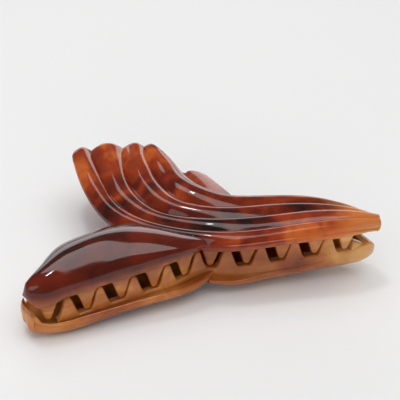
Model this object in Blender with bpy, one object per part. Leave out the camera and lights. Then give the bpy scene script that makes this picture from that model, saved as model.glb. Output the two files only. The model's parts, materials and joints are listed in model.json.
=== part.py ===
"""Claw hair clip, 88 mm long: two moulded jaws on a steel pin, closed by a torsion spring.

The clip is drawn in its own frame, in millimetres: X runs along the clip, Y from the mouth back to the
handles, Z up through the upper jaw, and the hinge axis is the X axis. Both jaws are drawn the way up that the
upper one lies and differ only at the ends of the mouth; the lower one is then turned half a turn about Y.
The whole clip is last tipped the little that its rest on a table needs and scaled to metres.
"""
import math

import bmesh
import bpy
import numpy as np
from mathutils import Matrix

MM = 0.001

# Rest on the table: the clip is tipped about X, then rolled about Y.
REST_PITCH = math.radians(-0.80)
REST_ROLL = math.radians(-3.91)

WALL = 1.7              # wall under the grooves between the rolls
ROLL_RISE = 0.25        # height of a roll as a share of its width
ROLL_FULLNESS = 0.62    # below 1 the roll has fuller shoulders than a parabola
FINGER_REACH = 2.2      # how far a finger's round end passes the ends of its grooves
RIM_ROUND = 0.5         # how far the middle of an edge stands out
TIP_EDGE = 0.6          # the wing's tip is a solid bar: its thickness along its two edges
UPPER_TIP = (1.2, 4.5)    # height of the bar's underside above the mouth plane, its rise over one station
LOWER_TIP = (-1.2, 11.7)
SHELL = 2.2             # wall of the dome

RAIL_WALL = 2.0         # thickness of the tooth rail, front to back
RAIL_EDGE = 2.75        # height of the rail's toothed edge above the mouth plane
RAIL_COVER = 1.0        # least height of the rail itself
TOOTH_TIP = 2.45        # how far a tooth passes the mouth plane
TOOTH_ROOT_HALF = 2.2   # half widths of a tooth along the clip
TOOTH_TIP_HALF = 0.6
TOOTH_ROOT_WALL = 1.86
TOOTH_TIP_WALL = 1.2
TOOTH_X = (-38.8, -29.8, -21.5, -13.3, -5.3, 1.6, 9.9, 18.4, 26.6, 34.2)

# Ends of the rail's edge (x, height). Under the dome's end the upper jaw has a block that carries its last
# tooth, and the lower jaw a low shoulder in its place.
UPPER_EDGE = ((-41.9, 2.3), (-41.4, 1.3), (-41.0, RAIL_EDGE), (37.0, RAIL_EDGE))
LOWER_EDGE = ((-40.5, 3.0), (-39.2, 2.1), (-36.0, 0.1), (-35.6, RAIL_EDGE), (37.0, RAIL_EDGE))

LUG_X = (-9.0, 6.2)     # middles of the upper jaw's two hinge lugs
LUG_WALL = 2.2
LUG_RADIUS = 2.4
LUG_HOLE = 1.1
LUG_TOP = 5.0
PIN_RADIUS = 0.8
PIN_HALF = 10.6
WIRE_RADIUS = 0.3
COIL_RADIUS = 1.5
COIL_HALF = 3.2
COIL_TURNS = 5.5
COIL_STEPS = 10         # points of the wire in one turn
LEG_BEND = 2.5          # where a leg leaves the coil
LEG_REACH = 9.0
LEG_HEIGHT = 4.0

# The five groove lines that bound the four rolls, from the right-hand tip round to the finger ends.
# One row per station, one (x, y, z) per line: lip, groove 1, groove 2, groove 3, rear edge.
ROLL_LINES = (
    ((42.2, -27.0, 2.0), (42.8, -26.2, 4.5), (43.3, -24.6, 3.7), (43.6, -22.9, 2.4), (42.9, -21.3, 1.6)),
    ((35.2, -28.1, 3.7), (35.8, -25.9, 5.9), (37.8, -22.6, 4.8), (38.9, -19.6, 3.7), (39.4, -16.6, 2.1)),
    ((24.6, -27.1, 4.5), (26.2, -23.5, 5.8), (29.2, -18.9, 4.7), (31.5, -14.7, 3.7), (32.4, -9.8, 2.2)),
    ((12.3, -25.9, 4.9), (14.2, -21.8, 5.7), (17.9, -17.0, 5.0), (21.6, -12.0, 4.2), (23.4, -6.6, 2.7)),
    ((1.4, -23.6, 5.3), (3.2, -19.5, 6.2), (7.4, -15.0, 5.4), (11.5, -10.3, 4.8), (15.2, -4.6, 3.4)),
    ((-7.6, -16.2, 4.8), (-4.9, -13.0, 5.3), (-0.4, -10.5, 5.2), (4.6, -7.0, 5.3), (10.6, -2.2, 4.5)),
    ((-15.4, -8.0, 4.4), (-10.6, -6.5, 5.1), (-5.5, -5.0, 5.0), (0.3, -2.0, 5.7), (7.4, 2.4, 5.0)),
    ((-18.5, 0.6, 4.6), (-13.8, 1.0, 5.5), (-7.8, 3.0, 5.4), (-1.1, 5.6, 5.9), (6.0, 7.6, 5.2)),
    ((-19.5, 8.0, 6.1), (-14.4, 7.6, 6.3), (-7.9, 9.7, 6.2), (-1.2, 10.8, 6.6), (5.3, 11.4, 5.9)),
    ((-19.4, 14.8, 7.4), (-14.0, 15.0, 7.0), (-6.9, 15.4, 6.9), (-0.9, 15.6, 7.1), (4.8, 14.8, 6.5)),
    ((-18.6, 21.6, 8.1), (-13.2, 23.2, 7.2), (-5.4, 21.4, 7.2), (-0.1, 19.8, 7.3), (4.1, 16.9, 7.0)),
)

# Sections of the dome: x, lip (y, z), crest (y, z), rear edge (y, z), fullness of the front.
DOME_SECTIONS = (
    (-42.5, (-26.3, 3.6), (-24.2, 6.9), (-22.2, 3.9), 0.7),
    (-41.0, (-27.2, 2.3), (-23.5, 7.7), (-20.6, 2.7), 0.7),
    (-38.2, (-27.6, 2.5), (-22.5, 8.6), (-17.8, 2.9), 0.75),
    (-33.6, (-26.9, 3.7), (-21.0, 9.5), (-12.4, 2.8), 0.9),
    (-28.0, (-26.3, 5.0), (-19.6, 10.2), (-9.4, 1.0), 1.1),
    (-22.0, (-25.7, 5.6), (-19.0, 10.6), (-8.4, 1.0), 1.2),
    (-16.0, (-25.2, 5.8), (-19.2, 10.0), (-7.4, 1.0), 1.2),
    (-10.0, (-25.0, 6.1), (-20.4, 8.8), (-10.0, 1.2), 1.0),
    (-5.0, (-24.4, 6.1), (-21.7, 7.6), (-14.9, 1.8), 1.0),
    (-0.5, (-23.1, 5.4), (-21.9, 6.2), (-18.5, 3.0), 1.0),
)
HOLLOW_SPAN = (1.7, 7.3)  # first and last section that the hollow reaches
DOME_TIP = (-43.7, -24.7, 4.6)

# Front line of the mouth in plan: distance from the middle, y.
MOUTH_PLAN = ((0.0, -20.3), (3.0, -21.8), (6.0, -22.8), (14.0, -24.2), (24.0, -25.3), (34.0, -26.8), (39.0, -27.0),
              (42.2, -25.4))


def spline(rows, at):
    """Natural cubic through evenly spaced rows, read at the given places (0 to the last row)."""
    rows = np.asarray(rows, float)
    last = len(rows) - 1
    system = np.zeros((last + 1, last + 1))
    right = np.zeros_like(rows)
    system[0, 0] = system[last, last] = 1.0
    for k in range(1, last):
        system[k, k - 1:k + 2] = 1.0, 4.0, 1.0
        right[k] = 6.0 * (rows[k - 1] - 2.0 * rows[k] + rows[k + 1])
    bend = np.linalg.solve(system, right.reshape(last + 1, -1)).reshape(rows.shape)
    at = np.clip(np.asarray(at, float), 0.0, last)
    low = np.minimum(at.astype(int), last - 1)
    f = (at - low).reshape(-1, *([1] * (rows.ndim - 1)))
    g = 1.0 - f
    return g * rows[low] + f * rows[low + 1] + ((g**3 - g) * bend[low] + (f**3 - f) * bend[low + 1]) / 6.0


def mouth_y(x):
    """Front line of the mouth at x: the plan's corners smoothed over a few millimetres."""
    distance, y = zip(*MOUTH_PLAN)
    return float(np.mean(np.interp(np.abs(x + np.linspace(-3.0, 3.0, 13)), distance, y)))


def mesh_object(name, verts, faces):
    """A mesh object from millimetre vertices."""
    mesh = bpy.data.meshes.new(name)
    mesh.from_pydata([tuple(float(c) for c in v) for v in verts], [], faces)
    mesh.validate()
    made = bpy.data.objects.new(name, mesh)
    bpy.context.scene.collection.objects.link(made)
    build = bmesh.new()
    build.from_mesh(mesh)
    bmesh.ops.remove_doubles(build, verts=build.verts, dist=0.001)
    bmesh.ops.recalc_face_normals(build, faces=build.faces)
    build.to_mesh(mesh)
    build.free()
    return made


def rolls_solid(along, per_roll, tip):
    """The ridged wing that sweeps round into the handle, as one closed body."""
    end_rows = 4
    last = len(ROLL_LINES) - 1
    stations = np.concatenate([np.linspace(0.0, last, along), np.full(end_rows, float(last))])
    reach = np.concatenate([np.zeros(along), np.sin(np.linspace(0.0, math.pi / 2, end_rows + 1))[1:]])
    across = np.linspace(0.0, 4.0, 4 * per_roll + 1)
    lines = spline(ROLL_LINES, stations)
    base = np.stack([spline(row, across) for row in lines])
    in_roll = across - np.minimum(across.astype(int), 3)
    arch = 1.0 - (2.0 * in_roll - 1.0)**2
    flow = np.gradient(base[:along], axis=0)
    flow = np.concatenate([flow, np.repeat(flow[-1:], end_rows, axis=0)])
    side = np.gradient(base, axis=1)
    flow /= np.linalg.norm(flow, axis=2, keepdims=True)
    normal = np.cross(side, flow)
    normal /= np.linalg.norm(normal, axis=2, keepdims=True)
    if normal[along // 2, 2 * per_roll, 2] < 0:
        normal = -normal
    width = np.linalg.norm(np.diff(lines, axis=1), axis=2)
    width = np.repeat(width, per_roll, axis=1)
    width = np.concatenate([width, width[:, -1:]], axis=1)
    shrink = np.sqrt(np.clip(1.0 - reach**2, 0.0, 1.0))
    shrink = np.maximum(shrink, 0.25)
    base = base + flow * (reach[:, None] * FINGER_REACH * np.sqrt(arch)[None])[:, :, None]
    rise = ROLL_RISE * width * (arch**ROLL_FULLNESS)[None] * shrink[:, None]
    outer = base + normal * rise[:, :, None]
    inner = base - np.array([0.0, 0.0, WALL])
    bar = np.clip(1.5 - stations, 0.0, 1.0)[:, None]
    underside = np.minimum(base[:, :, 2] - TIP_EDGE, (tip[0] + tip[1] * stations)[:, None])
    inner[:, :, 2] = (1.0 - bar) * inner[:, :, 2] + bar * underside
    return shell_from_grids("rolls", outer, inner)


def shell_from_grids(name, outer, inner):
    """Closed body between two grids of the same shape, its edges rounded out in the middle."""
    rows, cols = outer.shape[:2]
    size = rows * cols
    verts = list(outer.reshape(-1, 3)) + list(inner.reshape(-1, 3))
    faces = []
    for i in range(rows - 1):
        for j in range(cols - 1):
            a = i * cols + j
            faces.append((a, a + 1, a + cols + 1, a + cols))
            faces.append((size + a, size + a + cols, size + a + cols + 1, size + a + 1))
    ring = [(0, j) for j in range(cols - 1)]
    ring += [(i, cols - 1) for i in range(rows - 1)]
    ring += [(rows - 1, j) for j in range(cols - 1, 0, -1)]
    ring += [(i, 0) for i in range(rows - 1, 0, -1)]
    count = len(ring)
    rim = np.array([outer[at] for at in ring])
    under = np.array([inner[at] for at in ring])
    tangent = np.roll(rim, -1, axis=0) - np.roll(rim, 1, axis=0)
    out = np.cross(tangent, rim - under)
    out /= np.linalg.norm(out, axis=1, keepdims=True) + 1e-9
    if np.sum(out * (rim - rim.mean(axis=0))) < 0:
        out = -out
    push = np.minimum(RIM_ROUND, 0.2 * np.linalg.norm(tangent, axis=1, keepdims=True))
    verts += list((rim + under) / 2 + out * push)
    for k in range(count):
        i, j = ring[k]
        m, n = ring[(k + 1) % count]
        a, b = i * cols + j, m * cols + n
        c, d = 2 * size + k, 2 * size + (k + 1) % count
        faces.append((a, c, d, b))
        faces.append((c, size + a, size + b, d))
    return mesh_object(name, verts, faces)


def dome_solid(name, inset, floor_drop, steps, arc):
    """The dome as a filled body: sections of two quarter ovals, drawn in by the inset for its hollow."""
    table = np.array([[x, *lip, *crest, *rear, full] for x, lip, crest, rear, full in DOME_SECTIONS])
    first, last = HOLLOW_SPAN if inset else (0.0, len(table) - 1)
    rows = spline(table, np.linspace(first, last, steps))
    turns = np.linspace(0.0, math.pi / 2, arc + 1)
    grid = []
    for x, lip_y, lip_z, crest_y, crest_z, rear_y, rear_z, full in rows:
        lip_y, rear_y, crest_z = lip_y + inset, rear_y - inset, crest_z - inset
        if crest_z < lip_z + 0.3:
            crest_z = lip_z + 0.3
        crest_y = min(max(crest_y, lip_y + 0.3), rear_y - 0.3)
        section = [(x, lip_y, lip_z - floor_drop)]
        section += [(x, crest_y - (crest_y - lip_y) * max(math.cos(a), 0.0)**full,
                     lip_z + (crest_z - lip_z) * math.sin(a)**full) for a in turns]
        section += [(x, crest_y + (rear_y - crest_y) * math.sin(a), rear_z + (crest_z - rear_z) * math.cos(a))
                    for a in turns[1:]]
        section += [(x, rear_y, rear_z - floor_drop)]
        grid.append(section if floor_drop else section[1:-1])
    verts = [p for section in grid for p in section]
    count = len(grid[0])
    faces = []
    for i in range(len(grid) - 1):
        for j in range(count):
            a, b = i * count + j, i * count + (j + 1) % count
            faces.append((a, b, b + count, a + count))
    if inset:
        faces.append(tuple(range(count)))
    else:
        verts.append(DOME_TIP)
        faces += [(len(verts) - 1, (j + 1) % count, j) for j in range(count)]
    faces.append(tuple(range((len(grid) - 1) * count, len(grid) * count))[::-1])
    return mesh_object(name, verts, faces)


def prism(name, outline, low, high, axis):
    """A straight prism of a closed outline; axis 0 lays the outline in the YZ plane, axis 2 in the XY plane."""
    count = len(outline)
    place = (lambda p, h: (h, p[0], p[1])) if axis == 0 else (lambda p, h: (p[0], p[1], h))
    verts = [place(p, low) for p in outline] + [place(p, high) for p in outline]
    faces = [tuple(range(count)), tuple(range(count, 2 * count))[::-1]]
    faces += [(k, (k + 1) % count, count + (k + 1) % count, count + k) for k in range(count)]
    return mesh_object(name, verts, faces)


def rail_solid(edge, steps):
    """The wall that carries the teeth, following the mouth."""
    edge_x, edge_z = zip(*edge)
    xs = sorted(set(np.linspace(edge_x[0], edge_x[-1], steps)) | set(edge_x))
    dome = np.array([[row[0], row[1][1]] for row in DOME_SECTIONS])
    lip = np.array([row[0] for row in ROLL_LINES[:5]])[::-1]
    verts = []
    for x in xs:
        front = mouth_y(x) - 0.2
        low = float(np.interp(x, edge_x, edge_z))
        top = np.interp(x, dome[:, 0], dome[:, 1]) + 0.8 if x < 0 else np.interp(x, lip[:, 0], lip[:, 2]) - 0.6
        top = max(float(top), low + RAIL_COVER)
        verts += [(x, front, low), (x, front + RAIL_WALL, low), (x, front + RAIL_WALL, top), (x, front, top)]
    faces = [(0, 1, 2, 3), tuple(range(len(verts) - 4, len(verts)))[::-1]]
    for i in range(len(xs) - 1):
        for j in range(4):
            a, b = 4 * i + j, 4 * i + (j + 1) % 4
            faces.append((a, b, b + 4, a + 4))
    return mesh_object("rail", verts, faces)


def tooth_solid(x):
    """One tapered tooth that hangs from the rail."""
    levels = (
        (RAIL_EDGE + 0.6, TOOTH_ROOT_HALF, TOOTH_ROOT_WALL),
        (RAIL_EDGE, TOOTH_ROOT_HALF, TOOTH_ROOT_WALL),
        (-TOOTH_TIP, TOOTH_TIP_HALF, TOOTH_TIP_WALL),
    )
    verts = []
    for z, half, wall in levels:
        for side in (-1, 1):
            front = mouth_y(x + side * half) - 0.2 + (RAIL_WALL - wall) / 2
            verts += [(x + side * half, front, z), (x + side * half, front + wall, z)]
    faces = [(0, 1, 3, 2), (8, 10, 11, 9)]
    for base in (0, 4):
        faces += [(base, base + 2, base + 6, base + 4), (base + 2, base + 3, base + 7, base + 6),
                  (base + 3, base + 1, base + 5, base + 7), (base + 1, base, base + 4, base + 5)]
    return mesh_object("tooth", verts, faces)


def circle(radius, count, start=0.0, turn=2 * math.pi):
    """Points of a circle or arc about the hinge axis."""
    whole = abs(turn - 2 * math.pi) < 1e-6
    angles = [start + turn * k / (count if whole else count - 1) for k in range(count)]
    return [(radius * math.cos(a), radius * math.sin(a)) for a in angles]


def lug_solid(x):
    """A hinge lug: a round eye about the axis with a web up to the shell."""
    outline = [(-3.2, LUG_TOP), *circle(LUG_RADIUS, 13, math.pi * 1.02, math.pi * 0.96), (3.2, LUG_TOP)]
    return prism("lug", outline, x - LUG_WALL / 2, x + LUG_WALL / 2, 0)


def combine(target, tool, operation):
    """Applies one boolean and removes the tool."""
    step = target.modifiers.new("join", "BOOLEAN")
    step.operation = operation
    step.solver = "EXACT"
    step.object = tool
    bpy.context.view_layer.update()
    result = bpy.data.meshes.new_from_object(target.evaluated_get(bpy.context.evaluated_depsgraph_get()))
    target.modifiers.clear()
    target.data = result
    bpy.data.objects.remove(tool)


def jaw_mesh(edge, teeth, tip):
    """One whole jaw, the way up that the upper one lies."""
    jaw = rolls_solid(27, 4, tip)
    dome = dome_solid("dome", 0.0, 0.0, 17, 6)
    combine(dome, dome_solid("dome_hollow", SHELL, 4.0, 12, 4), "DIFFERENCE")
    combine(jaw, dome, "UNION")
    combine(jaw, rail_solid(edge, 21), "UNION")
    for x in teeth:
        combine(jaw, tooth_solid(x), "UNION")
    for x in LUG_X:
        combine(jaw, lug_solid(x), "UNION")
    hole = prism("hole", circle(LUG_HOLE, 14), -PIN_HALF - 1.0, PIN_HALF + 1.0, 0)
    combine(jaw, hole, "DIFFERENCE")
    mesh = jaw.data
    bpy.data.objects.remove(jaw)
    return mesh


def spring_path():
    """Middle line of the torsion spring: a coil about the pin with one leg under each handle."""
    steps = round(COIL_TURNS * COIL_STEPS)
    path = [(-COIL_HALF - 0.2, LEG_REACH, LEG_HEIGHT), (-COIL_HALF, LEG_BEND, COIL_RADIUS + 0.5)]
    for k in range(steps + 1):
        share = k / steps
        angle = math.pi / 2 + 2 * math.pi * COIL_TURNS * share
        path.append((COIL_HALF * (2 * share - 1), COIL_RADIUS * math.cos(angle), COIL_RADIUS * math.sin(angle)))
    path += [(COIL_HALF, LEG_BEND, -COIL_RADIUS - 0.5), (COIL_HALF + 0.2, LEG_REACH, -LEG_HEIGHT)]
    return path


def tube(name, path, radius, sides):
    """A round wire along a path."""
    path = np.asarray(path, float)
    along = np.gradient(path, axis=0)
    along /= np.linalg.norm(along, axis=1, keepdims=True)
    verts = []
    for point, direction in zip(path, along):
        guide = np.array([1.0, 0.0, 0.0]) if abs(direction[0]) < 0.8 else np.array([0.0, 0.0, 1.0])
        u = np.cross(direction, guide)
        u /= np.linalg.norm(u)
        v = np.cross(direction, u)
        verts += [point + radius * (math.cos(a) * u + math.sin(a) * v)
                  for a in np.linspace(0.0, 2 * math.pi, sides, endpoint=False)]
    last = len(path) - 1
    faces = [tuple(range(sides)), tuple(range(last * sides, (last + 1) * sides))[::-1]]
    for i in range(last):
        for j in range(sides):
            a, b = i * sides + j, i * sides + (j + 1) % sides
            faces.append((a, b, b + sides, a + sides))
    return mesh_object(name, verts, faces)


def material(name, colour, roughness, metallic):
    """A plain Principled material."""
    made = bpy.data.materials.new(name)
    made.use_nodes = True
    shader = made.node_tree.nodes["Principled BSDF"]
    shader.inputs["Base Color"].default_value = (*colour, 1.0)
    shader.inputs["Roughness"].default_value = roughness
    shader.inputs["Metallic"].default_value = metallic
    return made


for old in list(bpy.data.objects):
    bpy.data.objects.remove(old, do_unlink=True)

upper = jaw_mesh(UPPER_EDGE, TOOTH_X, UPPER_TIP)
lower = jaw_mesh(LOWER_EDGE, TOOTH_X[1:], LOWER_TIP)
lower.transform(Matrix.Rotation(math.pi, 4, "Y"))
pin = prism("pin", circle(PIN_RADIUS, 16), -PIN_HALF, PIN_HALF, 0)
spring = tube("spring", spring_path(), WIRE_RADIUS, 6)

ACETATE = ((0.23, 0.075, 0.02), 0.12, 0.0)
STEEL = ((0.55, 0.55, 0.56), 0.3, 1.0)
NODES = (
    ("upper_jaw", upper, ACETATE),
    ("lower_jaw", lower, ACETATE),
    ("hinge_pin", pin.data, STEEL),
    ("spring", spring.data, STEEL),
)
bpy.data.objects.remove(pin)
bpy.data.objects.remove(spring)

tip = Matrix.Rotation(REST_ROLL, 4, "Y") @ Matrix.Rotation(REST_PITCH, 4, "X")
corners = np.array([tip @ v.co for mesh in (upper, lower) for v in mesh.vertices])
low, high = corners.min(axis=0), corners.max(axis=0)
stand = Matrix.Translation((-(low[0] + high[0]) / 2 * MM, -(low[1] + high[1]) / 2 * MM, -low[2] * MM))
for name, mesh, looks in NODES:
    mesh.transform(Matrix.Scale(MM, 4))
    mesh.shade_smooth()
    mesh.materials.clear()
    mesh.materials.append(material(name, *looks))
    node = bpy.data.objects.new(name, mesh)
    bpy.context.scene.collection.objects.link(node)
    node.matrix_world = stand @ tip
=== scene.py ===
"""Looks of the tortoiseshell claw clip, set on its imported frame."""
import json
import math

import bmesh
import bpy
import numpy as np
from mathutils import Matrix, Vector


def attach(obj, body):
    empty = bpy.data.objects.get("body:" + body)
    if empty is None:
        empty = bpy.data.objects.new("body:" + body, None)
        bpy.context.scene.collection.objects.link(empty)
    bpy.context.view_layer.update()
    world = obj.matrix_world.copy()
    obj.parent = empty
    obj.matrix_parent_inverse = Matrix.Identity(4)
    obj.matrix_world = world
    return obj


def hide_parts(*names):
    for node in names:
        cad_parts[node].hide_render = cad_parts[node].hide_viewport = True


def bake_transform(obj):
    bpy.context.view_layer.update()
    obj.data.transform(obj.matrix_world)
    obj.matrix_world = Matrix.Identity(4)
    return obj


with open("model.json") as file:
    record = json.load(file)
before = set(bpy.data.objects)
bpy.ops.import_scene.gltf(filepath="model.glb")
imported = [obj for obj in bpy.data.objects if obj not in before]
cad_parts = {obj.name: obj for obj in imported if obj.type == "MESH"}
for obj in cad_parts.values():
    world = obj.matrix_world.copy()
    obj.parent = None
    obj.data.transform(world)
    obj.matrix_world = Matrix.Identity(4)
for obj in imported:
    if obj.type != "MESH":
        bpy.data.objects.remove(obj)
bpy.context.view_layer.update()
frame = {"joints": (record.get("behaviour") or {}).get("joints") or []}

# Camera. The clip lies with its toothed mouth toward the viewer, turned a little to the left and seen from
# about 34 degrees above, through a long lens whose middle falls right of and below the hinge.
MM = 0.001
HINGE = Vector(frame["joints"][0]["pos_m"])
REST_PITCH = math.radians(-0.80)
REST_ROLL = math.radians(-3.91)
CLIP_TO_ROW = (Matrix.Translation(HINGE) @ Matrix.Rotation(REST_ROLL, 4, "Y")
               @ Matrix.Rotation(REST_PITCH, 4, "X") @ Matrix.Scale(MM, 4))
VIEW_TURN = math.radians(20.9)
VIEW_RISE = math.radians(34.1)
VIEW_DISTANCE = 248.0
LENS = 89.9
SHIFT = (0.070, 0.029)

right = Vector((math.cos(VIEW_TURN), -math.sin(VIEW_TURN), 0.0))
ahead = Vector((math.sin(VIEW_TURN) * math.cos(VIEW_RISE), math.cos(VIEW_TURN) * math.cos(VIEW_RISE),
                -math.sin(VIEW_RISE)))
upward = right.cross(ahead)
camera = bpy.data.objects.new("camera", bpy.data.cameras.new("camera"))
bpy.context.scene.collection.objects.link(camera)
camera.data.lens = LENS
camera.data.sensor_width = 36.0
camera.data.shift_x, camera.data.shift_y = SHIFT
camera.data.clip_start = 0.01
camera.rotation_mode = "QUATERNION"
facing = Matrix((right, upward, -ahead)).transposed().to_4x4()
seat = CLIP_TO_ROW @ Matrix.Translation(-ahead * VIEW_DISTANCE) @ facing
camera.location, camera.rotation_quaternion, _ = seat.decompose()
bpy.context.scene.camera = camera
bpy.context.scene.view_settings.view_transform = "Standard"

# Stage. A near-white table top in a dim room. Two diffusers, overhead and low in front, light the surfaces
# but leave no image in the polish; a narrow card above the clip shows only in the polish. A soft lamp at the
# left, a strip low at the back that rims the rolls and a small strong key for the sparkles do both.
FLOOR_SIDE = 6.0
FLOOR_COLOUR = (0.82, 0.815, 0.81)
ROOM_COLOUR = (0.60, 0.61, 0.63)
ROOM_STRENGTH = 0.26

# Lamps: name, size, place, point faced, radiance, turn about the vertical in degrees, what shows their light.
LAMPS = (
    ("overhead", (1.3, 1.1), (0.05, 0.05, 0.85), (0.0, 0.0, 0.0), 1.6, 0.0, "surface"),
    ("front_fill", (0.8, 0.3), (-0.30, -0.97, 0.19), (0.0, 0.0, 0.0), 4.2, 0.0, "surface"),
    ("left_fill", (0.7, 0.6), (-0.72, -0.42, 0.62), (0.0, 0.0, 0.0), 1.4, 0.0, "both"),
    ("dome_card", (0.052, 0.25), (-0.010, 0.010, 0.139), (-0.010, 0.010, 0.0), 2.8, 24.0, "polish"),
    ("back_strip", (1.7, 0.42), (0.43, 1.12, 0.28), (0.0, 0.0, 0.02), 1.8, 0.0, "both"),
    ("key", (0.08, 0.08), (-0.11, 0.20, 0.80), (0.0, 0.0, 0.01), 42.0, 0.0, "both"),
)


def lamp(name, size, place, aim, radiance, turn, seen_on):
    """A rectangular soft light that faces a point; radiance is its brightness against a white sheet."""
    light = bpy.data.lights.new(name, "AREA")
    light.shape = "RECTANGLE"
    light.size, light.size_y = size
    light.energy = radiance * math.pi * size[0] * size[1]
    made = bpy.data.objects.new(name, light)
    bpy.context.scene.collection.objects.link(made)
    made.location = place
    facing = (Vector(place) - Vector(aim)).to_track_quat("Z", "Y").to_matrix().to_4x4()
    made.rotation_euler = (Matrix.Rotation(math.radians(turn), 4, "Z") @ facing).to_euler()
    made.visible_camera = False
    made.visible_glossy = seen_on != "surface"
    made.visible_diffuse = seen_on != "polish"


floor_mesh = bpy.data.meshes.new("floor")
half = FLOOR_SIDE / 2
floor_mesh.from_pydata([(-half, -half, 0.0), (half, -half, 0.0), (half, half, 0.0), (-half, half, 0.0)], [],
                       [(0, 1, 2, 3)])
floor = bpy.data.objects.new("floor", floor_mesh)
bpy.context.scene.collection.objects.link(floor)
floor_paint = bpy.data.materials.new("table_top")
floor_paint.use_nodes = True
floor_shader = floor_paint.node_tree.nodes["Principled BSDF"]
floor_shader.inputs["Base Color"].default_value = (*FLOOR_COLOUR, 1.0)
floor_shader.inputs["Roughness"].default_value = 0.6
floor_mesh.materials.append(floor_paint)

room = bpy.data.worlds.new("room")
room.use_nodes = True
room.node_tree.nodes["Background"].inputs["Color"].default_value = (*ROOM_COLOUR, 1.0)
room.node_tree.nodes["Background"].inputs["Strength"].default_value = ROOM_STRENGTH
bpy.context.scene.world = room
for row in LAMPS:
    lamp(*row)

# Jaws. Each half is one moulding in tortoiseshell acetate, polished all over: a smooth dome beside four long
# rolls that sweep round into the handle, a rail of teeth under the lip and two hinge lugs. The lower half is
# the same form turned half a turn about the front-to-back line; only the ends of its mouth differ.
WALL = 1.7              # millimetres, as all sizes of the pieces: wall under the grooves between the rolls
ROLL_RISE = 0.245       # height of a roll over its width
ROLL_FULLNESS = 1.1     # power of the roll's arch: above 1 it falls off faster to the grooves
FINGER_REACH = 2.05     # how far a finger end is rounded out past its last station
FINGER_NARROWEST = 0.25
RIM_ROUND = 0.42        # how far the wing's edges swell out
TIP_EDGE = 0.6          # the wing's tip is a solid bar: its thickness along its two edges
TIP_BAR_END = 1.5       # station at which the bar has thinned to the wall
UPPER_TIP = (1.2, 4.5)  # height of the bar's underside above the mouth plane, its rise over one station
LOWER_TIP = (-1.2, 11.7)
SHELL = 2.2             # wall of the dome
HOLLOW_DROP = 4.0       # how far the dome's hollow runs on below its lip
RAIL_WALL = 2.0         # thickness of the tooth rail, front to back
RAIL_PROUD = 0.2        # how far the rail stands out in front of the mouth line
RAIL_EDGE = 2.75        # height of the rail's toothed edge above the mouth plane
RAIL_COVER = 1.0        # least height of the rail itself
EDGE_RADIUS = 0.45      # rounding of the rail, the teeth and the dome's lip
TOOTH_TIP = 2.45        # how far a tooth reaches past the mouth plane
TOOTH_ROOT_HALF = 2.2
TOOTH_TIP_HALF = 0.6
TOOTH_ROOT_WALL = 1.86
TOOTH_TIP_WALL = 1.2
TOOTH_SINK = 0.6        # how far a tooth runs up into the rail
TOOTH_ROUND = 0.6       # length over which its tip is rounded
TOOTH_FLARE = 0.35      # widening where it leaves the rail
TOOTH_FLARE_FADE = 0.4
TOOTH_X = (-38.8, -29.8, -21.5, -13.3, -5.3, 1.6, 9.9, 18.4, 26.6, 34.2)
LUG_X = (-9.0, 6.2)     # middles of the two hinge lugs
LUG_WALL = 2.2
LUG_RADIUS = 2.4
LUG_HOLE = 1.1
LUG_TOP = 5.0
LUG_FOOT_HALF = 3.2
PIN_HALF = 10.6

# Toothed edge of the rail: x, height above the mouth plane.
UPPER_EDGE = ((-41.9, 2.3), (-41.4, 1.3), (-41.0, RAIL_EDGE), (37.0, RAIL_EDGE))
LOWER_EDGE = ((-40.5, 3.0), (-39.2, 2.1), (-36.0, 0.1), (-35.6, RAIL_EDGE), (37.0, RAIL_EDGE))

# Groove lines of the rolls, right-hand tip to finger ends: lip, groove 1, groove 2, groove 3, rear edge.
ROLL_LINES = (
    ((42.2, -27.0, 2.0), (42.8, -26.2, 4.5), (43.3, -24.6, 3.7), (43.6, -22.9, 2.4), (42.9, -21.3, 1.6)),
    ((35.2, -28.1, 3.7), (35.8, -25.9, 5.9), (37.8, -22.6, 4.8), (38.9, -19.6, 3.7), (39.4, -16.6, 2.1)),
    ((24.6, -27.1, 4.5), (26.2, -23.5, 5.8), (29.2, -18.9, 4.7), (31.5, -14.7, 3.7), (32.4, -9.8, 2.2)),
    ((12.3, -25.9, 4.9), (14.2, -21.8, 5.7), (17.9, -17.0, 5.0), (21.6, -12.0, 4.2), (23.4, -6.6, 2.7)),
    ((1.4, -23.6, 5.3), (3.2, -19.5, 6.2), (7.4, -15.0, 5.4), (11.5, -10.3, 4.8), (15.2, -4.6, 3.4)),
    ((-7.6, -16.2, 4.8), (-4.9, -13.0, 5.3), (-0.4, -10.5, 5.2), (4.6, -7.0, 5.3), (10.6, -2.2, 4.5)),
    ((-15.4, -8.0, 4.4), (-10.6, -6.5, 5.1), (-5.5, -5.0, 5.0), (0.3, -2.0, 5.7), (7.4, 2.4, 5.0)),
    ((-18.5, 0.6, 4.6), (-13.8, 1.0, 5.5), (-7.8, 3.0, 5.4), (-1.1, 5.6, 5.9), (6.0, 7.6, 5.2)),
    ((-19.5, 8.0, 6.1), (-14.4, 7.6, 6.3), (-7.9, 9.7, 6.2), (-1.2, 10.8, 6.6), (5.3, 11.4, 5.9)),
    ((-19.4, 14.8, 7.4), (-14.0, 15.0, 7.0), (-6.9, 15.4, 6.9), (-0.9, 15.6, 7.1), (4.8, 14.8, 6.5)),
    ((-18.6, 21.6, 8.1), (-13.2, 23.2, 7.2), (-5.4, 21.4, 7.2), (-0.1, 19.8, 7.3), (4.1, 16.9, 7.0)),
)

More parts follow.
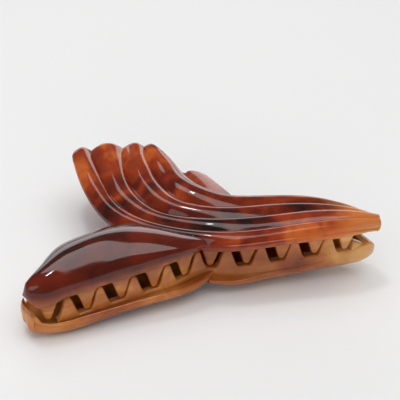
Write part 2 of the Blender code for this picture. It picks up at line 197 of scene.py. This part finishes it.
# Sections of the dome: x, lip (y, z), crest (y, z), rear edge (y, z), fullness of the front.
DOME_SECTIONS = (
    (-42.5, (-26.3, 3.6), (-24.2, 6.9), (-22.2, 3.9), 0.7),
    (-41.0, (-27.2, 2.3), (-23.5, 7.7), (-20.6, 2.7), 0.7),
    (-38.2, (-27.6, 2.5), (-22.5, 8.6), (-17.8, 2.9), 0.75),
    (-33.6, (-26.9, 3.7), (-21.0, 9.5), (-12.4, 2.8), 0.9),
    (-28.0, (-26.3, 5.0), (-19.6, 10.2), (-9.4, 1.0), 1.1),
    (-22.0, (-25.7, 5.6), (-19.0, 10.6), (-8.4, 1.0), 1.2),
    (-16.0, (-25.2, 5.8), (-19.2, 10.0), (-7.4, 1.0), 1.2),
    (-10.0, (-25.0, 6.1), (-20.4, 8.8), (-10.0, 1.2), 1.0),
    (-5.0, (-24.4, 6.1), (-21.7, 7.6), (-14.9, 1.8), 1.0),
    (-0.5, (-23.1, 5.4), (-21.9, 6.2), (-18.5, 3.0), 1.0),
)
HOLLOW_SPAN = (1.7, 7.3)    # rows of the table between which the dome is hollow
DOME_TIP = (-43.7, -24.7, 4.6)

# Front line of the mouth in plan: distance from the middle, y.
MOUTH_PLAN = ((0.0, -20.3), (3.0, -21.8), (6.0, -22.8), (14.0, -24.2), (24.0, -25.3), (34.0, -26.8),
              (39.0, -27.0), (42.2, -25.4))
ALONG = 150             # stations along the wing
PER_ROLL = 14           # strips across one roll
RIM_STEPS = 8           # strips round an edge
FINGER_ROWS = 10        # rows that round a finger end


def spline(rows, at):
    """Natural cubic through evenly spaced rows, read at the given places (0 to the last row)."""
    rows = np.asarray(rows, float)
    last = len(rows) - 1
    system = np.zeros((last + 1, last + 1))
    wanted = np.zeros_like(rows)
    system[0, 0] = system[last, last] = 1.0
    for k in range(1, last):
        system[k, k - 1:k + 2] = 1.0, 4.0, 1.0
        wanted[k] = 6.0 * (rows[k - 1] - 2.0 * rows[k] + rows[k + 1])
    bend = np.linalg.solve(system, wanted.reshape(last + 1, -1)).reshape(rows.shape)
    at = np.clip(np.asarray(at, float), 0.0, last)
    low = np.minimum(at.astype(int), last - 1)
    f = (at - low).reshape(-1, *([1] * (rows.ndim - 1)))
    g = 1.0 - f
    return g * rows[low] + f * rows[low + 1] + ((g**3 - g) * bend[low] + (f**3 - f) * bend[low + 1]) / 6.0


def mesh_object(name, verts, faces):
    """A closed mesh from millimetre points in the clip's own frame."""
    mesh = bpy.data.meshes.new(name)
    mesh.from_pydata([tuple(float(c) for c in v) for v in verts], [], faces)
    made = bpy.data.objects.new(name, mesh)
    bpy.context.scene.collection.objects.link(made)
    build = bmesh.new()
    build.from_mesh(mesh)
    bmesh.ops.remove_doubles(build, verts=build.verts, dist=0.001)
    bmesh.ops.recalc_face_normals(build, faces=build.faces)
    build.to_mesh(mesh)
    build.free()
    return made


def shell_between(name, outer, inner):
    """Closed body between two grids of the same shape, with half-oval edges."""
    rows, cols = outer.shape[:2]
    size = rows * cols
    verts = list(outer.reshape(-1, 3)) + list(inner.reshape(-1, 3))
    faces = []
    for i in range(rows - 1):
        for j in range(cols - 1):
            a = i * cols + j
            faces.append((a, a + 1, a + cols + 1, a + cols))
            faces.append((size + a, size + a + cols, size + a + cols + 1, size + a + 1))
    ring = [(0, j) for j in range(cols - 1)]
    ring += [(i, cols - 1) for i in range(rows - 1)]
    ring += [(rows - 1, j) for j in range(cols - 1, 0, -1)]
    ring += [(i, 0) for i in range(rows - 1, 0, -1)]
    count = len(ring)
    rim = np.array([outer[at] for at in ring])
    under = np.array([inner[at] for at in ring])
    tangent = np.roll(rim, -1, axis=0) - np.roll(rim, 1, axis=0)
    out = np.cross(tangent, rim - under)
    out /= np.linalg.norm(out, axis=1, keepdims=True) + 1e-9
    if np.sum(out * (rim - rim.mean(axis=0))) < 0:
        out = -out
    middle = (rim + under) / 2
    push = np.minimum(RIM_ROUND, 0.6 * np.linalg.norm(tangent, axis=1, keepdims=True))
    for turn in np.linspace(0.0, math.pi, RIM_STEPS + 1)[1:-1]:
        verts += list(middle + (rim - middle) * math.cos(turn) + out * push * math.sin(turn))
    rings = [[i * cols + j for i, j in ring]]
    rings += [list(range(2 * size + k * count, 2 * size + (k + 1) * count)) for k in range(RIM_STEPS - 1)]
    rings += [[size + i * cols + j for i, j in ring]]
    for near, far in zip(rings, rings[1:]):
        for k in range(count):
            n = (k + 1) % count
            faces.append((near[k], far[k], far[n], near[n]))
    return mesh_object(name, verts, faces)


def wing(tip):
    """The four rolls that sweep round into the fingers of the handle."""
    last = len(ROLL_LINES) - 1
    stations = np.concatenate([np.linspace(0.0, last, ALONG), np.full(FINGER_ROWS, float(last))])
    reach = np.concatenate([np.zeros(ALONG), np.sin(np.linspace(0.0, math.pi / 2, FINGER_ROWS + 1))[1:]])
    turn = np.arange(4 * PER_ROLL + 1) % PER_ROLL * math.pi / PER_ROLL
    across = np.arange(4 * PER_ROLL + 1) // PER_ROLL + (1.0 - np.cos(turn)) / 2
    lines = spline(ROLL_LINES, stations)
    base = np.stack([spline(row, across) for row in lines])
    arch = np.sin(turn)**2
    flow = np.gradient(base[:ALONG], axis=0)
    flow = np.concatenate([flow, np.repeat(flow[-1:], FINGER_ROWS, axis=0)])
    flow /= np.linalg.norm(flow, axis=2, keepdims=True)
    normal = np.cross(np.gradient(base, axis=1), flow)
    normal /= np.linalg.norm(normal, axis=2, keepdims=True)
    if normal[ALONG // 2, 2 * PER_ROLL, 2] < 0:
        normal = -normal
    width = np.linalg.norm(np.diff(lines, axis=1), axis=2)
    width = np.concatenate([np.repeat(width, PER_ROLL, axis=1), width[:, -1:]], axis=1)
    shrink = np.maximum(np.sqrt(np.clip(1.0 - reach**2, 0.0, 1.0)), FINGER_NARROWEST)
    base = base + flow * (reach[:, None] * FINGER_REACH * np.sqrt(arch)[None])[:, :, None]
    rise = ROLL_RISE * width * (arch**ROLL_FULLNESS)[None] * shrink[:, None]
    outer = base + normal * rise[:, :, None]
    inner = base - np.array([0.0, 0.0, WALL])
    bar = np.clip(TIP_BAR_END - stations, 0.0, 1.0)[:, None]
    underside = np.minimum(base[:, :, 2] - TIP_EDGE, (tip[0] + tip[1] * stations)[:, None])
    inner[:, :, 2] = (1.0 - bar) * inner[:, :, 2] + bar * underside
    return shell_between("wing", outer, inner)


def dome(inset, floor_drop, steps, arc):
    """The dome as a filled body of quarter ovals, drawn in by the inset where it cuts the hollow."""
    table = np.array([[x, *lip, *crest, *rear, full] for x, lip, crest, rear, full in DOME_SECTIONS])
    first, last = HOLLOW_SPAN if inset else (0.0, len(table) - 1)
    turns = np.linspace(0.0, math.pi / 2, arc + 1)
    grid = []
    rows = spline(table, np.linspace(first, last, steps))
    for x, lip_y, lip_z, crest_y, crest_z, rear_y, rear_z, full in rows:
        lip_y, rear_y = lip_y + inset, rear_y - inset
        crest_z = max(crest_z - inset, lip_z + 0.3)
        crest_y = min(max(crest_y, lip_y + 0.3), rear_y - 0.3)
        front = [(x, crest_y - (crest_y - lip_y) * max(math.cos(a), 0.0)**full,
                  lip_z + (crest_z - lip_z) * math.sin(a)**full) for a in turns]
        back = [(x, crest_y + (rear_y - crest_y) * math.sin(a), rear_z + (crest_z - rear_z) * math.cos(a))
                for a in turns[1:]]
        feet = ([(x, lip_y, lip_z - floor_drop)], [(x, rear_y, rear_z - floor_drop)])
        if not floor_drop:
            rounding = [math.pi * k / 8 for k in range(4)]
            feet = ([(x, lip_y + EDGE_RADIUS * (1.0 - math.sin(a)), lip_z - EDGE_RADIUS * math.cos(a))
                     for a in rounding], [])
        grid.append(feet[0] + front + back + feet[1])
    verts = [p for section in grid for p in section]
    count = len(grid[0])
    faces = []
    for i in range(len(grid) - 1):
        for j in range(count):
            a, b = i * count + j, i * count + (j + 1) % count
            faces.append((a, b, b + count, a + count))
    if inset:
        faces.append(tuple(range(count)))
    else:
        verts.append(DOME_TIP)
        faces += [(len(verts) - 1, (j + 1) % count, j) for j in range(count)]
    faces.append(tuple(range((len(grid) - 1) * count, len(grid) * count))[::-1])
    return mesh_object("dome", verts, faces)


def mouth_y(x):
    """Front line of the mouth at x: the plan's corners smoothed over a few millimetres."""
    distance, y = zip(*MOUTH_PLAN)
    return float(np.mean(np.interp(np.abs(x + np.linspace(-3.0, 3.0, 13)), distance, y)))


def prism(name, outline, low, high):
    """A straight prism along X of an outline in the YZ plane."""
    count = len(outline)
    verts = [(h, y, z) for h in (low, high) for y, z in outline]
    faces = [tuple(range(count)), tuple(range(count, 2 * count))[::-1]]
    faces += [(k, (k + 1) % count, count + (k + 1) % count, count + k) for k in range(count)]
    return mesh_object(name, verts, faces)


def loft(name, sections):
    """A closed body through rings of the same number of points."""
    count = len(sections[0])
    verts = [p for section in sections for p in section]
    faces = [tuple(range(count)), tuple(range(len(verts) - count, len(verts)))[::-1]]
    for i in range(len(sections) - 1):
        for j in range(count):
            a, b = i * count + j, i * count + (j + 1) % count
            faces.append((a, b, b + count, a + count))
    return mesh_object(name, verts, faces)


def rail(edge, steps):
    """The wall that carries the teeth, following the mouth, its toothed edge rounded."""
    edge_x, edge_z = zip(*edge)
    dome_lip = np.array([[row[0], row[1][1]] for row in DOME_SECTIONS])
    wing_lip = np.array([row[0] for row in ROLL_LINES[:5]])[::-1]
    turns = [math.pi / 2 * k / 4 for k in range(5)]
    sections = []
    for x in sorted(set(np.linspace(edge_x[0], edge_x[-1], steps)) | set(edge_x)):
        front = mouth_y(x) - RAIL_PROUD
        low = float(np.interp(x, edge_x, edge_z))
        if x < 0:
            top = np.interp(x, dome_lip[:, 0], dome_lip[:, 1]) + 0.8
        else:
            top = np.interp(x, wing_lip[:, 0], wing_lip[:, 2]) - 0.6
        top = max(float(top), low + RAIL_COVER)
        back = front + RAIL_WALL
        ring = [(x, front + EDGE_RADIUS * (1.0 - math.cos(a)), low + EDGE_RADIUS * (1.0 - math.sin(a)))
                for a in turns]
        ring += [(x, back - EDGE_RADIUS * (1.0 - math.cos(a)), low + EDGE_RADIUS * (1.0 - math.sin(a)))
                 for a in turns[::-1]]
        sections.append(ring + [(x, back, top), (x, front, top)])
    return loft("rail", sections)


def tooth(x):
    """One tapered tooth with rounded edges and a rounded tip, flared a little where it leaves the rail."""
    length = RAIL_EDGE + TOOTH_TIP
    corners = [math.pi / 2 * k / 4 for k in range(5)]
    sections = []
    depths = (-TOOTH_SINK, 0.0, 0.25, 0.6, 1.2, 2.4, 3.6,
              length - TOOTH_ROUND, length - 0.3, length - 0.1, length)
    for depth in depths:
        share = min(max(depth / length, 0.0), 1.0)
        flare = TOOTH_FLARE * math.exp(-max(depth, 0.0) / TOOTH_FLARE_FADE)
        close = math.sqrt(max(1.0 - max(depth - length + TOOTH_ROUND, 0.0)**2 / TOOTH_ROUND**2, 0.0))
        half = (TOOTH_ROOT_HALF + (TOOTH_TIP_HALF - TOOTH_ROOT_HALF) * share + flare) * (0.25 + 0.75 * close)
        wall = (TOOTH_ROOT_WALL + (TOOTH_TIP_WALL - TOOTH_ROOT_WALL) * share) * (0.35 + 0.65 * close)
        r = min(EDGE_RADIUS, 0.8 * half, 0.45 * wall)
        middle = mouth_y(x) - RAIL_PROUD + RAIL_WALL / 2
        slope = (mouth_y(x + half) - mouth_y(x - half)) / (2 * half)
        ring = []
        for sx, sy, order in ((1, 1, 1), (-1, 1, -1), (-1, -1, 1), (1, -1, -1)):
            for a in corners[::order]:
                dx = sx * (half - r + r * math.cos(a))
                dy = sy * (wall / 2 - r + r * math.sin(a))
                ring.append((x + dx, middle + dy + slope * dx, RAIL_EDGE - depth))
        sections.append(ring)
    return loft("tooth", sections)


def circle(radius, count, start=0.0, turn=2 * math.pi):
    """Points of a circle or arc about the hinge axis."""
    whole = abs(turn - 2 * math.pi) < 1e-6
    angles = [start + turn * k / (count if whole else count - 1) for k in range(count)]
    return [(radius * math.cos(a), radius * math.sin(a)) for a in angles]


def combine(target, tool, operation):
    """Applies one boolean and removes the tool."""
    step = target.modifiers.new("join", "BOOLEAN")
    step.operation = operation
    step.solver = "EXACT"
    step.object = tool
    bpy.context.view_layer.update()
    result = bpy.data.meshes.new_from_object(target.evaluated_get(bpy.context.evaluated_depsgraph_get()))
    target.modifiers.clear()
    target.data = result
    bpy.data.objects.remove(tool)


def moulding(edge, teeth, tip):
    """One whole jaw in the clip's own frame, the way up that the upper one lies."""
    jaw = wing(tip)
    bowl = dome(inset=0.0, floor_drop=0.0, steps=80, arc=20)
    combine(bowl, dome(inset=SHELL, floor_drop=HOLLOW_DROP, steps=50, arc=14), "DIFFERENCE")
    combine(jaw, bowl, "UNION")
    combine(jaw, rail(edge, 60), "UNION")
    for x in teeth:
        combine(jaw, tooth(x), "UNION")
    for x in LUG_X:
        eye = [(-LUG_FOOT_HALF, LUG_TOP), *circle(LUG_RADIUS, 33, math.pi * 1.02, math.pi * 0.96),
               (LUG_FOOT_HALF, LUG_TOP)]
        combine(jaw, prism("lug", eye, x - LUG_WALL / 2, x + LUG_WALL / 2), "UNION")
    combine(jaw, prism("hole", circle(LUG_HOLE, 32), -PIN_HALF - 1.0, PIN_HALF + 1.0), "DIFFERENCE")
    mesh = jaw.data
    bpy.data.objects.remove(jaw)
    return mesh


class Wire:
    """One output in a material; arithmetic on it adds Math nodes."""

    def __init__(self, tree, socket=None):
        self.tree = tree
        self.socket = socket

    def node(self, kind, settings, sockets, output=0):
        """Adds a node: its settings first, then the values or links of its sockets."""
        made = self.tree.nodes.new("ShaderNode" + kind)
        for key, value in settings.items():
            if key == "stops":
                ramp = made.color_ramp
                while len(ramp.elements) < len(value):
                    ramp.elements.new(0.5)
                for element, (position, colour) in zip(ramp.elements, value):
                    element.position = position
                    element.color = (*colour, 1.0)
            else:
                setattr(made, key, value)
        for key, value in sockets.items():
            if isinstance(value, Wire):
                self.tree.links.new(value.socket, made.inputs[key])
            else:
                made.inputs[key].default_value = value
        return Wire(self.tree, made.outputs[output] if made.outputs else None)

    def math(self, operation, first, second=0.0):
        return self.node("Math", {"operation": operation}, {0: first, 1: second})

    def __add__(self, other):
        return self.math("ADD", self, other)

    def __sub__(self, other):
        return self.math("SUBTRACT", self, other)

    def __rsub__(self, other):
        return self.math("SUBTRACT", other, self)

    def __mul__(self, other):
        return self.math("MULTIPLY", self, other)

    __radd__ = __add__
    __rmul__ = __mul__


def acetate():
    """Polished tortoiseshell acetate: red-brown with near-black clouds, amber where the moulding is thin,
    partly its own colour and partly painted glow of light passing through; the lower jaw's front is painted
    lighter as painted bounce light.
    """
    paint = bpy.data.materials.new("tortoiseshell_acetate")
    paint.use_nodes = True
    tree = paint.node_tree
    tree.nodes.clear()
    wire = Wire(tree)
    turned = CLIP_TO_ROW.to_3x3()
    place = wire.node("TexCoord", {}, {}, "Object")
    from_hinge = wire.node("VectorMath", {"operation": "SUBTRACT"}, {0: place, 1: HINGE})
    along, back, height = (
        wire.node("VectorMath", {"operation": "DOT_PRODUCT"},
                  {0: from_hinge, 1: turned.col[k].normalized()}, "Value")
        for k in range(3))

    def step(value, low, high):
        return wire.node("MapRange", {"interpolation_type": "SMOOTHSTEP"},
                         {"Value": value, "From Min": low, "From Max": high})

    def most(first, second):
        return wire.math("MAXIMUM", first, second)

    own_along = along * wire.math("SIGN", height)
    front = step(back * -1.0, 0.004, 0.014)
    finger = step(back, 0.000, 0.016)
    lip = step(back * -1.0, 0.020, 0.026) * step(own_along, -0.002, 0.006)
    tip = step(own_along, 0.026, 0.041)
    dome_face = step(own_along * -1.0, 0.000, 0.010) * front * step(height, 0.003, 0.006)
    # Painted glow: the amber is lightened toward the right-hand end.
    right_end = step(along, 0.026, 0.040)
    # Amber along the teeth and rail of the mouth: partly the thin acetate's own colour, partly painted glow
    # of light passing through.
    mouth = step(back * -1.0, 0.0200, 0.0225) * (1.0 - step(wire.math("ABSOLUTE", height), 0.0024, 0.0050))
    # Painted bounce light: the front of the lower jaw, below the mouth plane, is painted amber for light
    # thrown up by the table and passing through it.
    under = step(height * -1.0, 0.0002, 0.0030) * front
    plate = step(height, 0.0012, 0.0034)
    # Weight of the amber: partly the acetate's own colour, partly painted glow and painted bounce light.
    honey_and_glow = most(most(tip * 0.25, mouth * (0.85 - plate * 0.35)), under * 0.85)

    def streaks(stretch):
        drawn_out = wire.node("VectorMath", {"operation": "MULTIPLY"}, {0: place, 1: stretch})
        return wire.node("TexNoise", {}, {"Vector": drawn_out, "Scale": 95.0, "Detail": 1.5,
                                          "Roughness": 0.45, "Distortion": 0.9})

    broad = streaks((0.5, 1.1, 1.0)) * (1.0 - finger) + streaks((1.6, 0.4, 1.0)) * finger
    wisps = wire.node("TexNoise", {}, {"Vector": place, "Scale": 210.0, "Detail": 1.0, "Roughness": 0.5,
                                       "Distortion": 1.0})
    cloud = (broad * 0.75 + wisps * 0.25 - 0.5) * (2.1 - dome_face * 1.1)
    deep = wire.node("ValToRGB", {"stops": (
        (0.00, (0.58, 0.130, 0.022)),
        (0.25, (0.34, 0.044, 0.008)),
        (0.55, (0.165, 0.015, 0.0035)),
        (0.80, (0.060, 0.006, 0.002)),
        (1.00, (0.015, 0.003, 0.002)),
    )}, {0: cloud + 0.58 + dome_face * 0.15 - finger * 0.34 - lip * 0.34 - tip * 0.52})
    # Amber colours of the thin parts, partly painted glow.
    thin = wire.node("ValToRGB", {"stops": (
        (0.00, (0.82, 0.44, 0.14)),
        (0.40, (0.52, 0.175, 0.035)),
        (0.75, (0.33, 0.075, 0.015)),
        (1.00, (0.13, 0.026, 0.007)),
    )}, {0: cloud * 0.7 + 0.50 - tip * 0.20 - right_end * 0.52})
    colour = wire.node("Mix", {"data_type": "RGBA"}, {0: honey_and_glow, 6: deep, 7: thin}, 2)
    smear = wire.node("TexNoise", {}, {"Vector": place, "Scale": 900.0, "Detail": 3.0})
    ripple = wire.node("TexNoise", {}, {"Vector": place, "Scale": 260.0, "Detail": 1.0})
    relief = wire.node("Bump", {}, {"Strength": 0.05, "Distance": 0.0003, "Height": ripple})
    shader = wire.node("BsdfPrincipled", {}, {
        "Base Color": colour,
        "Roughness": smear * 0.06 + 0.05,
        "IOR": 1.49,
        "Subsurface Weight": 0.30,
        "Transmission Weight": 0.15,
        "Subsurface Radius": (1.0, 0.35, 0.12),
        "Subsurface Scale": 0.0025,
        "Normal": relief,
    })
    wire.node("OutputMaterial", {}, {"Surface": shader})
    return paint


jaw_paint = acetate()
HALF_TURN = Matrix.Rotation(math.pi, 4, "Y")
for side, turn, edge, teeth, tip in (("upper", Matrix.Identity(4), UPPER_EDGE, TOOTH_X, UPPER_TIP),
                                     ("lower", HALF_TURN, LOWER_EDGE, TOOTH_X[1:], LOWER_TIP)):
    mesh = moulding(edge, teeth, tip)
    mesh.name = side + "_jaw_shell"
    mesh.transform(CLIP_TO_ROW @ turn)
    mesh.shade_smooth()
    mesh.set_sharp_from_angle(angle=math.radians(38.0))
    mesh.materials.clear()
    mesh.materials.append(jaw_paint)
    shell = bpy.data.objects.new(side + "_jaw_shell", mesh)
    bpy.context.scene.collection.objects.link(shell)
    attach(shell, side)
    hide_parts(side + "_jaw")

# Hinge pin. A cut length of plain drawn steel rod with broken edges, pushed through the four lugs. It sits in
# holes a little wider than itself, hidden under the handles.
PIN_SIDES = 40

# Profile of the pin: x, radius.
PIN_PROFILE = ((-10.6, 0.50), (-10.52, 0.66), (-10.38, 0.76), (-10.15, 0.80), (10.15, 0.80), (10.38, 0.76),
               (10.52, 0.66), (10.6, 0.50))


def drawn_steel(name, colour, roughness, grain):
    """Drawn steel wire: fine lines along the length, a little uneven in tone."""
    paint = bpy.data.materials.new(name)
    paint.use_nodes = True
    tree = paint.node_tree
    tree.nodes.clear()
    wire = Wire(tree)
    place = wire.node("TexCoord", {}, {}, "Object")
    lines = wire.node("VectorMath", {"operation": "MULTIPLY"}, {0: place, 1: grain})
    drawn = wire.node("TexNoise", {}, {"Vector": lines, "Scale": 4000.0, "Detail": 3.0, "Roughness": 0.6})
    patch = wire.node("TexNoise", {}, {"Vector": place, "Scale": 500.0, "Detail": 2.0})
    dull = tuple(0.7 * c for c in colour)
    tone = wire.node("Mix", {"data_type": "RGBA"}, {0: patch, 6: (*dull, 1.0), 7: (*colour, 1.0)}, 2)
    relief = wire.node("Bump", {}, {"Strength": 0.15, "Distance": 0.00005, "Height": drawn})
    shader = wire.node("BsdfPrincipled", {}, {
        "Base Color": tone,
        "Metallic": 1.0,
        "Roughness": drawn * 0.2 + roughness,
        "Normal": relief,
    })
    wire.node("OutputMaterial", {}, {"Surface": shader})
    return paint


pin_rings = [[(x, *point) for point in circle(radius, PIN_SIDES)] for x, radius in PIN_PROFILE]
pin = loft("hinge_pin_rod", pin_rings)
pin.data.transform(CLIP_TO_ROW)
pin.data.shade_smooth()
pin.data.set_sharp_from_angle(angle=math.radians(40.0))
pin.data.materials.append(drawn_steel("pin_steel", (0.62, 0.61, 0.60), 0.22, (0.05, 1.0, 1.0)))
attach(pin, "lower")
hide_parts("hinge_pin")

# Spring. Round steel wire wound five and a half turns round the pin, one leg under each handle. The real
# turns twist as the clip opens; here the wire is one fixed mesh in its rest pose, attached to neither jaw.
WIRE_RADIUS = 0.3
WIRE_SIDES = 12
COIL_RADIUS = 1.5
COIL_HALF = 3.2
COIL_TURNS = 5.5
COIL_STEPS = 32
LEG_BEND = 2.5
LEG_REACH = 9.0
LEG_HEIGHT = 4.0


def spring_wire():
    """Middle line of the spring, its bends rounded by cutting the corners twice."""
    steps = round(COIL_TURNS * COIL_STEPS)
    path = [(-COIL_HALF - 0.2, LEG_REACH, LEG_HEIGHT), (-COIL_HALF, LEG_BEND, COIL_RADIUS + 0.5)]
    for k in range(steps + 1):
        share = k / steps
        angle = math.pi / 2 + 2 * math.pi * COIL_TURNS * share
        path.append((COIL_HALF * (2 * share - 1),
                     COIL_RADIUS * math.cos(angle), COIL_RADIUS * math.sin(angle)))
    path += [(COIL_HALF, LEG_BEND, -COIL_RADIUS - 0.5), (COIL_HALF + 0.2, LEG_REACH, -LEG_HEIGHT)]
    for _ in range(2):
        points = np.array(path)
        cut = np.stack([0.75 * points[:-1] + 0.25 * points[1:],
                        0.25 * points[:-1] + 0.75 * points[1:]], axis=1)
        path = [path[0], *cut.reshape(-1, 3), path[-1]]
    return np.array(path, float)


wire_line = spring_wire()
heading = np.gradient(wire_line, axis=0)
heading /= np.linalg.norm(heading, axis=1, keepdims=True)
wire_rings = []
for k, (point, direction) in enumerate(zip(wire_line, heading)):
    guide = np.array([1.0, 0.0, 0.0]) if abs(direction[0]) < 0.8 else np.array([0.0, 0.0, 1.0])
    sideways = np.cross(direction, guide)
    sideways /= np.linalg.norm(sideways)
    over = np.cross(direction, sideways)
    radius = WIRE_RADIUS * (0.7 if k in (0, len(wire_line) - 1) else 1.0)
    wire_rings.append([point + sideways * y + over * z for y, z in circle(radius, WIRE_SIDES)])
spring = loft("spring_wire", wire_rings)
spring.data.transform(CLIP_TO_ROW)
spring.data.shade_smooth()
spring.data.materials.append(drawn_steel("spring_steel", (0.50, 0.50, 0.51), 0.28, (1.0, 0.3, 0.3)))
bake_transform(spring)
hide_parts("spring")
